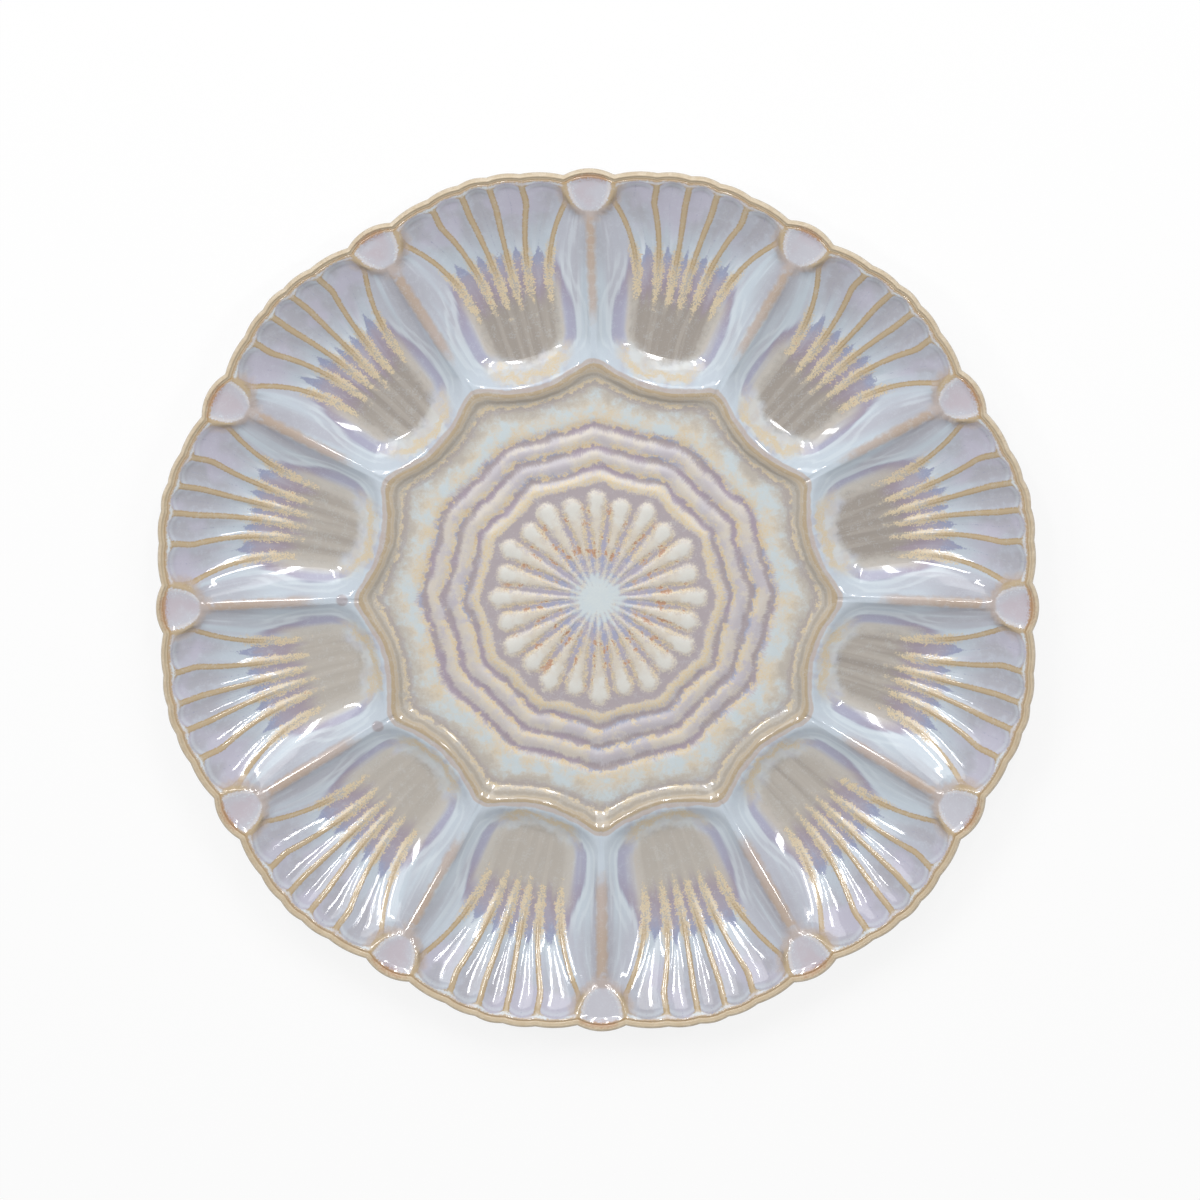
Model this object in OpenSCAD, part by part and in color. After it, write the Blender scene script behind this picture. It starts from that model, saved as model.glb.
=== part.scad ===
// Round stoneware appetizer dish: fluted egg wells in a ring round a shallow centre well.
// The origin is the middle of the foot ring, on the table, and +Z is up.
// A ridge between two wells lies on +X, and a well's own angle is counted from its middle.

/* [Rim] */
// Diameter across the lobes of the rim
rim_d = 320; // [280:1:380]
// Height of the lip above the table
rim_h = 30; // [26:0.5:44]
// Width of the bare clay lip
lip_w = 2.6; // [2:0.1:5]
// Height of the lip above the clay beside it
lip_rise = 1.6; // [0.8:0.1:3]
// Height of the lip's highest line above its outer edge
lip_drop = 1.8; // [0.8:0.1:2.5]
// Thickness of the rim below the lip's highest line
rim_t = 4.5; // [3.5:0.1:6]
// How far the middle of a lobe stands out beyond the notches at its ends
lobe_rise = 3.4; // [0:0.1:7]
// How far the end of each flute bulges the rim
scallop_rise = 0.6; // [0:0.1:1]
// Width of the tab between two wells, at the lip
tab_w = 18; // [12:0.5:26]
// Length of a tab from its tip to the lip
tab_l = 12; // [8:0.5:24]
// How far a tab stands out beyond the notches beside it
tab_rise = 2.1; // [0:0.1:5]
// Depth of the hollow in a tab
tab_depth = 0.8; // [0:0.1:1.5]

/* [Egg wells] */
// Number of egg wells
well_count = 12; // [10:1:14]
// Height of a well's floor above the table, without glaze
well_h = 8.5; // [7.5:0.1:12]
// Width of a well's floor where the flutes begin
well_floor_w = 26; // [18:0.5:30]
// Width of the wall at a well's inner end
well_end_w = 10; // [6:0.5:14]
// Distance from the crest to the lowest part of a well
well_bottom = 21; // [12:0.5:28]
// Distance from the crest to where the flutes begin
flute_start = 27; // [16:0.5:34]
// Number of flutes in a well
flute_count = 5; // [3:1:7]
// How much the flutes narrow towards the middle of a well, as a share of their width
flute_taper = 0.2; // [0:0.05:0.4]
// Width across all flutes of a well at the rim
fan_w = 80; // [50:1:84]
// Depth of a flute between its ribs
flute_depth = 1; // [0:0.1:2.5]

/* [Centre well] */
// Diameter of the centre well at the middles of its scallops
centre_d = 159; // [150:1:176]
// How far the cusps between the scallops reach out
cusp_reach = 7.2; // [4:0.1:12]
// Width over which a cusp is rounded
cusp_w = 8; // [3:0.5:14]
// Height of the crest round the centre well, without glaze
crest_h = 14.5; // [12.5:0.1:18]
// Width of the crest
crest_w = 2; // [1:0.1:4]
// Width of the wall between the floor and the crest
centre_wall_w = 6; // [3:0.5:9]
// Height of the centre floor above the table, without glaze
floor_h = 11; // [10:0.1:12]
// Diameter of the innermost ring groove
groove_d = 92; // [88:1:96]
// Distance from one ring groove to the next
groove_pitch = 7.6; // [6:0.1:8]
// Number of ring grooves
groove_count = 3; // [1:1:3]
// Depth of a ring groove
groove_depth = 0.8; // [0:0.1:1.2]
// How far the corners of a ring groove reach out
groove_reach = 2.2; // [0:0.1:5]
// Diameter of the rosette over its long drops
rosette_d = 80; // [60:1:82]
// How much shorter every second drop is
drop_step = 2; // [0:0.1:5]
// Height of the drops at their round ends
drop_h = 1.4; // [0.2:0.1:2.5]
// Diameter of the plain middle of the rosette
rosette_hub_d = 18; // [10:1:30]

/* [Clay and glaze] */
// Thickness of the clay wall
wall_t = 6; // [4:0.1:7]
// Thickness of a coat of glaze
glaze_t = 0.5; // [0.3:0.05:0.8]

/* [Foot ring] */
// Outer diameter of the foot ring
foot_d = 150; // [120:1:154]
// Width of the foot ring
foot_w = 6; // [4:0.5:10]
// Radius of the foot ring's lower edges
foot_edge = 1; // [0.5:0.1:1.8]

/* [Hidden] */

$fn = 96;

// Facets: columns in a well outside its flutes and in one flute, and in a sector of the centre
side_columns = 3;
flute_columns = 2;
centre_columns = 8;

rim_r = rim_d / 2;
centre_r = centre_d / 2;
foot_r = foot_d / 2;
groove_r = groove_d / 2;
rosette_r = rosette_d / 2;
hub_r = rosette_hub_d / 2;

// Half of a well's sector, in degrees
half = 180 / well_count;
well_columns = 2 * side_columns + flute_columns * flute_count;
flute_share = flute_columns * flute_count / well_columns;

// Share of half a sector, from its middle, where the rounding of the cusp begins
cusp_start = 1 - asin(cusp_w / 2 / (centre_r + cusp_reach)) / half;

// Heights and radii that follow from the sizes above
land_h = rim_h - lip_rise;
land_r = rim_r - lip_w;
tab_tip_r = land_r - lobe_rise - tab_l;
tab_edge = half - asin(tab_w / 2 / land_r);
bottom_r = centre_r + well_bottom;
fan_r = centre_r + flute_start;
under_h = floor_h - wall_t;
rim_under_h = rim_h - rim_t;
lip_edge_h = rim_h - lip_drop;
ring_band_r = groove_r + (groove_count - 0.5) * groove_pitch;

// Curvature of the ridges, troughs, walls and lobes, as powers of the distance along them
ridge_curve = 1.25;
trough_curve = 1.9;
wall_curve = 1.8;
end_curve = 1.3;
fan_curve = 2.1;
lobe_curve = 1.5;

// Share of the lip's width outside its highest line, and how far the rim's underside is drawn in
lip_outer_share = 0.55;
rim_inset = 1;
// Width of the flat round the foot ring
foot_margin = 3;
// Least angle from the outermost rib to the ridge or tab beside it, and the rounding between them
rib_gap = 0.5;
rib_blend = 1;
// Rounding between a well's side and end walls, as a share of the way up them
wall_blend = 0.5;
// Share of a flute's length over which it deepens
flute_growth = 0.5;
// Share of a drop's length where it is widest, and the share that its round end takes
bulb_share = 0.75;
drop_round = 0.2;
// Distance from the short drops' ends to the facets' row inside them
end_inset = 1;
tiny = 0.001;

// Helpers

function clamp01(x) = min(1, max(0, x));
function smooth(x) = let (c = clamp01(x)) c * c * (3 - 2 * c);
function mix(a, b, share) = a + (b - a) * share;

// Smaller of two numbers, with the corner between them rounded over a width
function soft_min(a, b, width) =
    let (h = max(0, width - abs(a - b)) / width) min(a, b) - h * h * width / 4;

// 0 in the middle of a well's sector and 1 on the ridges beside it, where the cusps are rounded
function spread(t) =
    let (x = abs(t) / half, over = max(0, x - cusp_start))
    (x * x - over * over / (1 - cusp_start)) / cusp_start;

// Outlines, as radii at an angle t from the middle of a sector

// The ribs' numbers, and their places across the fan from -1 to 1
ribs = [
    for (i = [0 : flute_count])
        let (even = 2 * i / flute_count - 1)
        [i, even * (1 - flute_taper * (1 - even * even))]
];
rib_numbers = [for (rib = ribs) [rib[1], rib[0]]];

// Place across one flute: -1 and 1 on its ribs, 0 in its middle
function flute_place(t, fan) =
    let (x = lookup(t / fan, rib_numbers)) 2 * (x - floor(min(x, flute_count - tiny))) - 1;

function crest_at(t) = centre_r + cusp_reach * spread(t);

function rim_at(t) =
    let (a = abs(t), lobe = a / tab_edge, tab = (a - tab_edge) / (half - tab_edge))
    a < tab_edge
        ? rim_r - lobe_rise * pow(lobe, lobe_curve) + scallop_rise * (1 - pow(flute_place(t, tab_edge), 2))
        : rim_r - lobe_rise + tab_rise * (1 - pow(1 - tab, 2));

function land_at(t) = rim_at(t) - lip_w;

// Half width of a tab as an angle, with a half ellipse as its outline
function tab_angle(r) =
    let (left = 1 - clamp01((r - tab_tip_r) / tab_l)) asin(min(1, tab_w / 2 / r * sqrt(1 - left * left)));

// Angle of the outermost rib, which fans out until it meets the tab
function fan_angle(r) =
    let (
        inner = asin(well_floor_w / 2 / fan_r),
        outer = asin(fan_w / 2 / land_r),
        fan = mix(inner, outer, pow(clamp01((r - fan_r) / (land_r - fan_r)), fan_curve))
    )
    soft_min(fan, half - max(tab_angle(r), rib_gap), rib_blend);

// Heights of the clay's upper surface

function ridge_h(r, land) =
    let (cusp_r = centre_r + cusp_reach)
    mix(crest_h, land_h, pow(clamp01((r - cusp_r) / (land - cusp_r)), ridge_curve));

function trough_h(r, land) =
    mix(well_h, land_h, pow(clamp01((r - bottom_r) / (land - bottom_r)), trough_curve));

// Share of the way up from a well's floor to its ridges and crest
function wall_share(r, t) =
    let (
        edge = half - tab_angle(r),
        side = (edge - abs(t)) / (edge - min(fan_angle(r), edge - rib_gap)),
        out = (r - crest_at(t) - crest_w) / well_end_w,
        end = out > 1 ? out : 1 - pow(1 - max(0, out), end_curve / wall_curve)
    )
    pow(1 - clamp01(soft_min(side, end, wall_blend)), wall_curve);

// A well with plain walls
function bowl_h(r, t) =
    let (trough = trough_h(r, land_at(t)))
    mix(trough, max(trough, ridge_h(r, land_at(t))), wall_share(r, t));

// How far the flutes and the tab lie below those plain walls
function relief(r, t) =
    let (
        fan = fan_angle(r),
        tab = tab_angle(r),
        grown = smooth((r - fan_r) / (land_r - fan_r) / flute_growth),
        open = smooth((land_at(t) - r) / lip_w),
        across = (half - abs(t)) / max(tab, tiny)
    )
    abs(t) < fan ? flute_depth * grown * open * (1 - pow(flute_place(t, fan), 2))
    : across < 1 ? tab_depth * open * (1 - across * across)
    : 0;

function well_clay_h(r, t) = bowl_h(r, t) - relief(r, t);

// The drops of the rosette: long ones on the ridges' angles, short ones between them
function drop_at(r, t) =
    let (
        long = abs(t) > half / 2,
        along = (r - hub_r) / ((long ? rosette_r : rosette_r - drop_step) - hub_r),
        across = (long ? half - abs(t) : abs(t)) / (half / 2),
        round_end = clamp01((1 - along) / drop_round)
    )
    along < 0 || along > 1 ? 0 : drop_h * along * sqrt(round_end) * (1 - across * across);

function groove_at(v) =
    v < groove_r - groove_pitch / 2 || v > ring_band_r
        ? 0
        : groove_depth * (1 + cos(360 * (v - groove_r) / groove_pitch)) / 2;

// v is the radius in the middle of a sector
function centre_clay_h(v, t) =
    floor_h + drop_at(centre_radius(v, t), t) - groove_at(v)
    + (crest_h - floor_h) * smooth((v - centre_r + centre_wall_w) / centre_wall_w);

// The ring grooves and the crest are drawn out towards the ridges
function centre_radius(v, t) =
    let (
        rings = [[hub_r, 0], [groove_r, groove_reach], [ring_band_r, groove_reach]],
        reach = lookup(v, concat(rings, [[centre_r, cusp_reach]]))
    )
    v + spread(t) * reach;

// Rings of points, each closed round the axis

function place(r, angle, z) = [r * cos(angle), r * sin(angle), z];

// Angle of a column c, from -1 to 1, in a well: the flutes' columns follow their ribs
function column_angle(c, r) =
    let (
        opening = smooth((r - fan_r + flute_start / 2) / flute_start),
        fan = mix(half * flute_share, fan_angle(r), opening),
        even = c / flute_share,
        across = lookup((even + 1) / 2 * flute_count, ribs)
    )
    abs(c) <= flute_share
        ? mix(even, across, opening) * fan
        : sign(c) * mix(fan, half, (abs(c) - flute_share) / (1 - flute_share));

function well_ring(radius, height) = [
    for (well = [0 : well_count - 1], i = [0 : well_columns - 1])
        let (
            c = 2 * i / well_columns - 1,
            t = column_angle(c, radius(half * c)),
            r = radius(t)
        )
        place(r, (2 * well + 1) * half + t, height(r, t))
];

function centre_ring(v, lift) = [
    for (well = [0 : well_count - 1], i = [0 : centre_columns - 1])
        let (t = half * (2 * i / centre_columns - 1))
        place(centre_radius(v, t), (2 * well + 1) * half + t, centre_clay_h(v, t) + lift)
];

// Radii of the rings in the centre, from the hub to the foot of the centre wall
centre_rows = concat(
    [hub_r, mix(hub_r, rosette_r, bulb_share), rosette_r - drop_step - end_inset, rosette_r],
    [for (i = [-0.5 : 0.5 : groove_count - 0.5]) groove_r + i * groove_pitch],
    [centre_r - centre_wall_w, centre_r - centre_wall_w / 2]
);

// Shares of the way down a well's end wall, and from its foot to the land
end_rows = [0, 0.4];
well_rows = [0, 0.16, 0.34, 0.52, 0.7, 0.88, 1];

function end_wall_r(t, share) = crest_at(t) + crest_w + well_end_w * share;

// The upper surface from the middle of the dish to the land inside the lip
function upper_rings(lift) = concat(
    [[[0, 0, floor_h + lift]]],
    [for (v = centre_rows) centre_ring(v, lift)],
    [well_ring(function(t) crest_at(t), function(r, t) crest_h + lift)],
    [
        for (share = end_rows)
            well_ring(function(t) end_wall_r(t, share), function(r, t) well_clay_h(r, t) + lift)
    ],
    [
        for (share = well_rows)
            well_ring(
                function(t) mix(end_wall_r(t, 1), land_at(t), share),
                function(r, t) well_clay_h(r, t) + lift
            )
    ]
);

function lip_rings() = [
    well_ring(function(t) land_at(t), function(r, t) well_clay_h(r, t) + glaze_t),
    well_ring(function(t) rim_at(t) - lip_w * lip_outer_share, function(r, t) rim_h),
    well_ring(function(t) rim_at(t), function(r, t) lip_edge_h)
];

function under_ring(radius, height) = [
    for (well = [0 : well_count - 1], i = [0 : centre_columns - 1])
        let (t = half * (2 * i / centre_columns - 1), r = radius(t))
        place(r, (2 * well + 1) * half + t, height(r, t))
];

// Shares of the way from the flat round the foot ring out to the lip
under_rows = [0.9, 0.7, 0.48, 0.24];

// Radius where the flat round the foot ring ends, and of the foot ring as its facets clear it
under_flat_r = foot_r + foot_margin;
foot_clear_r = foot_r / cos(180 / (well_count * centre_columns));

// The underside follows the wells one wall below them, and runs into the flat
function under_clay_h(r, t) =
    let (inner = smooth((r - under_flat_r) / (bottom_r - under_flat_r)))
    mix(under_h, bowl_h(max(r, bottom_r), t) - wall_t, inner);

// The underside from below the lip to the foot ring
function under_rings(lift) = concat(
    [under_ring(function(t) rim_at(t) - rim_inset, function(r, t) rim_under_h + lift)],
    [
        for (share = under_rows)
            under_ring(
                function(t) mix(under_flat_r, rim_at(t) - rim_inset, share),
                function(r, t) under_clay_h(r, t) + lift
            )
    ],
    [
        for (r = [under_flat_r, foot_clear_r])
            under_ring(function(t) r, function(r, t) under_h + lift)
    ]
);

// A closed solid from rings of points, from its upper middle over its rim to its lower middle.
// Neighbouring rings have the same number of points, or one has a multiple of the other's.
function ring_starts(rings) = [for (i = 0, n = 0; i < len(rings); n = n + len(rings[i]), i = i + 1) n];

function ring_r(ring) = norm([ring[0].x, ring[0].y]);

// A band is split the same way whether it runs outwards or inwards, so two solids can share it.
function band_faces(a, na, b, nb, outwards) =
    let (many = max(na, nb), few = min(na, nb), k = many / few, wide = na > nb || (na == nb && outwards))
    concat(
        [
            for (j = [0 : many - 1])
                let (j2 = (j + 1) % many, f = floor((j + k / 2) / k) % few)
                wide ? [b + f, a + j, a + j2] : [a + f, b + j2, b + j]
        ],
        few == 1 ? [] : [
            for (j = [0 : few - 1])
                let (j2 = (j + 1) % few, m = (j * k + ceil(k / 2)) % many)
                wide ? [b + j2, b + j, a + m] : [a + j, a + j2, b + m]
        ]
    );

module ring_solid(rings, closed = false) {
    starts = ring_starts(rings);
    count = len(rings);
    faces = [
        for (i = [0 : closed ? count - 1 : count - 2])
            let (a = rings[i], next = (i + 1) % count, b = rings[next])
            each band_faces(starts[i], len(a), starts[next], len(b), ring_r(b) > ring_r(a))
    ];
    polyhedron(points = [for (ring = rings) each ring], faces = faces);
}

// Parts

// One pressed and fired piece of clay: centre well, crest, egg wells, rim and bare lip
module stoneware_body() {
    color("tan")
    ring_solid(concat(upper_rings(0), lip_rings(), under_rings(0), [[[0, 0, under_h]]]));
}

// Bare clay ring that the dish stands on
module foot_ring() {
    inner_r = foot_r - foot_w;
    color("burlywood")
    rotate_extrude() {
        translate([inner_r, foot_edge]) square([foot_w, under_h - foot_edge]);
        translate([inner_r + foot_edge, 0]) square([foot_w - 2 * foot_edge, foot_edge]);
        for (r = [inner_r + foot_edge, foot_r - foot_edge])
            translate([r, foot_edge]) circle(foot_edge);
    }
}

// Pearl glaze over the whole upper face, up to the bare lip
module upper_glaze() {
    top = upper_rings(glaze_t);
    bottom = upper_rings(0);
    color("lavender")
    ring_solid(concat(top, [for (i = [len(bottom) - 1 : -1 : 0]) bottom[i]]));
}

// Glaze over the underside, from the bare lip to the foot ring
module underside_glaze() {
    top = under_rings(0);
    bottom = under_rings(-glaze_t);
    color("lavender")
    ring_solid(concat([for (i = [len(top) - 1 : -1 : 0]) top[i]], bottom), closed = true);
}

// Glaze on the flat inside the foot ring
module foot_well_glaze() {
    color("lavender")
    translate([0, 0, under_h - glaze_t]) cylinder(r = foot_r - foot_w, h = glaze_t);
}

stoneware_body();
foot_ring();
upper_glaze();
underside_glaze();
foot_well_glaze();
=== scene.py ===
"""Looks of the stoneware appetizer dish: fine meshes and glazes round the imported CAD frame.

Shape functions work in millimetres and radians. An angle t is counted from the middle of a well,
so it runs from -HALF to HALF across one sector, and the twelve sectors are alike.
"""

import math
from types import SimpleNamespace

import bpy
import numpy as np
from mathutils import Matrix, Vector


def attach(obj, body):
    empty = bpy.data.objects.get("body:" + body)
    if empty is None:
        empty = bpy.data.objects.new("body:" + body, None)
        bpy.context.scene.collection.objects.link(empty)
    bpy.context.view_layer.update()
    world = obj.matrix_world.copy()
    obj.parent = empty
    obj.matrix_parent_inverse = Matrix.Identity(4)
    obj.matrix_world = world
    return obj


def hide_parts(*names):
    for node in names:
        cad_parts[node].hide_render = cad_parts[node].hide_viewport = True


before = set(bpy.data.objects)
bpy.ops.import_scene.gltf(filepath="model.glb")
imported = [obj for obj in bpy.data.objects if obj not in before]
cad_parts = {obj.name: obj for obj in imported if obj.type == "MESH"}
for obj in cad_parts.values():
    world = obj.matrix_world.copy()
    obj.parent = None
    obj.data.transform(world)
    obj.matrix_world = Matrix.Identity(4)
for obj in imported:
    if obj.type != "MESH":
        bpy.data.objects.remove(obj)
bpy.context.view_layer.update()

# Sizes of the dish, as in the part's source
MM = 0.001
WELLS = 12
FLUTES = 5
HALF = math.pi / WELLS
RIM_R = 160.0
RIM_H = 30.0
RIM_T = 4.5
RIM_INSET = 1.0
LIP_W = 2.6
LIP_RISE = 1.6
LIP_DROP = 1.8
LOBE_RISE = 3.4
SCALLOP_RISE = 0.6
TAB_W = 18.0
TAB_L = 12.0
TAB_RISE = 2.1
TAB_DEPTH = 0.8
WELL_H = 8.5
WELL_FLOOR_W = 26.0
WELL_END_W = 10.0
WELL_BOTTOM = 21.0
FLUTE_START = 27.0
FLUTE_TAPER = 0.2
FAN_W = 80.0
FLUTE_DEPTH = 1.0
CENTRE_R = 79.5
CUSP_REACH = 7.2
CUSP_W = 8.0
CREST_H = 14.5
CREST_W = 2.0
CENTRE_WALL_W = 6.0
FLOOR_H = 11.0
GROOVE_R = 46.0
GROOVE_PITCH = 7.6
GROOVE_COUNT = 3
GROOVE_DEPTH = 0.8
GROOVE_REACH = 2.2
ROSETTE_R = 40.0
DROP_STEP = 2.0
DROP_H = 1.4
HUB_R = 9.0
WALL_T = 6.0
GLAZE_T = 0.5
FOOT_R = 75.0
FOOT_MARGIN = 3.0

# Curvature of the ridges, troughs, walls and lobes, as powers of the distance along them
RIDGE_CURVE = 1.25
TROUGH_CURVE = 1.9
WALL_CURVE = 1.8
END_CURVE = 1.3
FAN_CURVE = 2.1
LOBE_CURVE = 1.5
FLUTE_GROWTH = 0.5
WALL_BLEND = 0.5
RIB_GAP = math.radians(0.5)
RIB_BLEND = math.radians(1)

# Finer relief that only the looks have
RIDGE_ROUND = 0.12
RIB_ROUND = 0.9
DROP_BULB_R = 3.9
DROP_ROOT_W = 0.6
DROP_CURVE = 1.4
DROP_RISE_W = 4.0
DROP_ROOT_SHARE = 0.25
DROP_END_SHARE = 0.55
RIDGE_BEAD = 0.35
RIDGE_BEAD_W = 1.3
RIDGE_BEAD_START = 8.0
RIDGE_BEAD_RISE_W = 12.0
RIDGE_BEAD_OVERLAP = 3.0
RIDGE_BEAD_FALL_W = 4.0
RING_BEAD = 0.2
RING_BEAD_R = 42.6
RING_BEAD_W = 1.7
FLOOR_WAVE = 0.16
FLOOR_WAVE_RISE_W = 8.0
FLUTE_END_GAP = 0.9
FLUTE_END_BACK = 3.4
FLUTE_END_SLOPE = 2.6
HIDDEN_DEPTH = 2.6
HIDDEN_EDGE = 0.4
HIDDEN_SLOPE = 2.5

# Heights and radii that follow
LAND_H = RIM_H - LIP_RISE
LAND_R = RIM_R - LIP_W
TAB_TIP_R = LAND_R - LOBE_RISE - TAB_L
TAB_EDGE = HALF - math.asin(TAB_W / 2 / LAND_R)
BOTTOM_R = CENTRE_R + WELL_BOTTOM
FAN_R = CENTRE_R + FLUTE_START
CUSP_R = CENTRE_R + CUSP_REACH
CUSP_START = 1 - math.asin(CUSP_W / 2 / CUSP_R) / HALF
UNDER_H = FLOOR_H - WALL_T
LIP_EDGE_H = RIM_H - LIP_DROP
RIM_UNDER_H = RIM_H - RIM_T
RING_BAND_R = GROOVE_R + (GROOVE_COUNT - 0.5) * GROOVE_PITCH
UNDER_FLAT_R = FOOT_R + FOOT_MARGIN

# Columns of the fine and of the hidden meshes in one sector
FLUTE_COLUMNS = 10
SIDE_COLUMNS = 13
WELL_COLUMNS = FLUTE_COLUMNS * FLUTES + 2 * SIDE_COLUMNS
CENTRE_COLUMNS = WELL_COLUMNS // 2
HIDDEN_COLUMNS = WELL_COLUMNS // 4
FLUTE_SHARE = FLUTE_COLUMNS * FLUTES / WELL_COLUMNS

# Least value of an angle that something is divided by
TINY = 1e-4


# Helpers for the shape functions
def clamp01(x):
    return np.clip(x, 0.0, 1.0)


def smooth(x):
    c = clamp01(x)
    return c * c * (3 - 2 * c)


def mix(a, b, share):
    return a + (b - a) * share


def soft_min(a, b, width):
    h = np.maximum(0, width - np.abs(a - b)) / width
    return np.minimum(a, b) - h * h * width / 4


def spread(t):
    """0 in the middle of a sector and 1 on the ridges beside it, where the cusps are rounded."""
    x = np.abs(t) / HALF
    over = np.maximum(0, x - CUSP_START)
    return (x * x - over * over / (1 - CUSP_START)) / CUSP_START


# Outlines
EVEN_PLACES = np.linspace(-1, 1, FLUTES + 1)
RIB_PLACES = EVEN_PLACES * (1 - FLUTE_TAPER * (1 - EVEN_PLACES ** 2))


def flute_at(t, fan):
    """Place across a flute, -1 and 1 on its ribs, and half its width as a share of the fan's."""
    number = np.interp(t / fan, RIB_PLACES, np.arange(FLUTES + 1))
    first = np.clip(np.floor(number), 0, FLUTES - 1).astype(int)
    return 2 * (number - first) - 1, (RIB_PLACES[first + 1] - RIB_PLACES[first]) / 2


def crest_at(t):
    return CENTRE_R + CUSP_REACH * spread(t)


def rim_at(t):
    a = np.abs(t)
    place, _ = flute_at(t, TAB_EDGE)
    lobe = RIM_R - LOBE_RISE * (a / TAB_EDGE) ** LOBE_CURVE + SCALLOP_RISE * (1 - place ** 2)
    tab = RIM_R - LOBE_RISE + TAB_RISE * (1 - ((HALF - a) / (HALF - TAB_EDGE)) ** 2)
    return np.where(a < TAB_EDGE, lobe, tab)


def land_at(t):
    return rim_at(t) - LIP_W


def tab_angle(r):
    """Half width of a tab as an angle, with a half ellipse as its outline."""
    left = 1 - clamp01((r - TAB_TIP_R) / TAB_L)
    return np.arcsin(np.clip(TAB_W / 2 / r * np.sqrt(1 - left ** 2), 0, 1))


def fan_angle(r):
    """Angle of the outermost rib, which fans out until it meets the tab."""
    inner = math.asin(WELL_FLOOR_W / 2 / FAN_R)
    outer = math.asin(FAN_W / 2 / LAND_R)
    fan = mix(inner, outer, clamp01((r - FAN_R) / (LAND_R - FAN_R)) ** FAN_CURVE)
    return soft_min(fan, HALF - np.maximum(tab_angle(r), RIB_GAP), RIB_BLEND)


def flute_end(t, place):
    """Radius at which a flute ends in a round arch."""
    return land_at(t) - FLUTE_END_GAP - FLUTE_END_BACK * (1 - np.sqrt(np.maximum(0, 1 - place ** 2)))


# Heights of the clay's upper surface
def ridge_h(r, land):
    return mix(CREST_H, LAND_H, clamp01((r - CUSP_R) / (land - CUSP_R)) ** RIDGE_CURVE)


def trough_h(r, land):
    return mix(WELL_H, LAND_H, clamp01((r - BOTTOM_R) / (land - BOTTOM_R)) ** TROUGH_CURVE)


def wall_share(r, t):
    """Share of the way up from a well's floor to its ridges and crest."""
    edge = HALF - tab_angle(r)
    side = (edge - np.abs(t)) / (edge - np.minimum(fan_angle(r), edge - RIB_GAP))
    out = (r - crest_at(t) - CREST_W) / WELL_END_W
    end = np.where(out > 1, out, 1 - (1 - clamp01(out)) ** (END_CURVE / WALL_CURVE))
    inside = -soft_min(-soft_min(side, end, WALL_BLEND), 0.0, RIDGE_ROUND)
    return (1 - clamp01(inside)) ** WALL_CURVE


def bowl_h(r, t):
    trough = trough_h(r, land_at(t))
    return mix(trough, np.maximum(trough, ridge_h(r, land_at(t))), wall_share(r, t))


def flute_hollow(place, half_w):
    """Share of a flute's depth, across it: a round trough with rounded ribs."""
    to_rib = (1 - np.abs(place)) * half_w
    rounded = to_rib * (1 - np.exp(-((to_rib / RIB_ROUND) ** 2)))
    return 1 - (1 - rounded / half_w) ** 2


def well_relief(r, t):
    """How far flutes, tabs and ridges lie below or above the plain walls of a well."""
    a = np.abs(t)
    fan = fan_angle(r)
    tab = tab_angle(r)
    place, half_share = flute_at(t, fan)
    hollow = flute_hollow(place, half_share * fan * r)
    grown = smooth((r - FAN_R) / (LAND_R - FAN_R) / FLUTE_GROWTH)
    flutes = FLUTE_DEPTH * grown * smooth((flute_end(t, place) - r) / FLUTE_END_SLOPE) * hollow
    waves = FLOOR_WAVE * (1 - grown) * smooth((r - end_wall_r(t)) / FLOOR_WAVE_RISE_W) * hollow
    across = (HALF - a) / np.maximum(tab, TINY)
    tab_open = smooth((land_at(t) - r) / LIP_W)
    tabs = np.where(across < 1, TAB_DEPTH * tab_open * (1 - across ** 2), 0.0)
    on_ridge = smooth((r - CUSP_R - RIDGE_BEAD_START) / RIDGE_BEAD_RISE_W)
    on_ridge = on_ridge * smooth((TAB_TIP_R + RIDGE_BEAD_OVERLAP - r) / RIDGE_BEAD_FALL_W)
    bead = RIDGE_BEAD * on_ridge * np.exp(-(((HALF - a) * r / RIDGE_BEAD_W) ** 2))
    return bead - flutes - waves - tabs


def well_h(r, t):
    return bowl_h(r, t) + well_relief(r, t) + GLAZE_T


def drop_shape(r, t):
    """Place across a drop of the rosette, 0 on its axis and 1 on its edge, and depth inside it in mm."""
    a = np.abs(t)
    long = a > HALF / 2
    bulb = np.where(long, ROSETTE_R, ROSETTE_R - DROP_STEP) - DROP_BULB_R
    aside = np.where(long, HALF - a, a) * r
    half_w = mix(DROP_ROOT_W, DROP_BULB_R, clamp01((r - HUB_R) / (bulb - HUB_R)) ** DROP_CURVE)
    from_axis = np.hypot(aside, np.maximum(0, r - bulb))
    return from_axis / half_w, half_w - from_axis


def drop_h(r, t):
    across, _ = drop_shape(r, t)
    along = clamp01((r - HUB_R) / (ROSETTE_R - HUB_R))
    share = smooth((r - HUB_R) / DROP_RISE_W) * mix(DROP_ROOT_SHARE, DROP_END_SHARE, along)
    return DROP_H * share * np.maximum(0, 1 - across ** 2)


def groove_depth(v):
    inside = (v > GROOVE_R - GROOVE_PITCH / 2) & (v < RING_BAND_R)
    return np.where(inside, GROOVE_DEPTH * (1 + np.cos(2 * np.pi * (v - GROOVE_R) / GROOVE_PITCH)) / 2, 0.0)


def centre_radius(v, t):
    """Radius of a place in the centre well, where v is the radius in the middle of a sector."""
    rings = [HUB_R, GROOVE_R, RING_BAND_R, CENTRE_R]
    return v + spread(t) * np.interp(v, rings, [0, GROOVE_REACH, GROOVE_REACH, CUSP_REACH])


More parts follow.
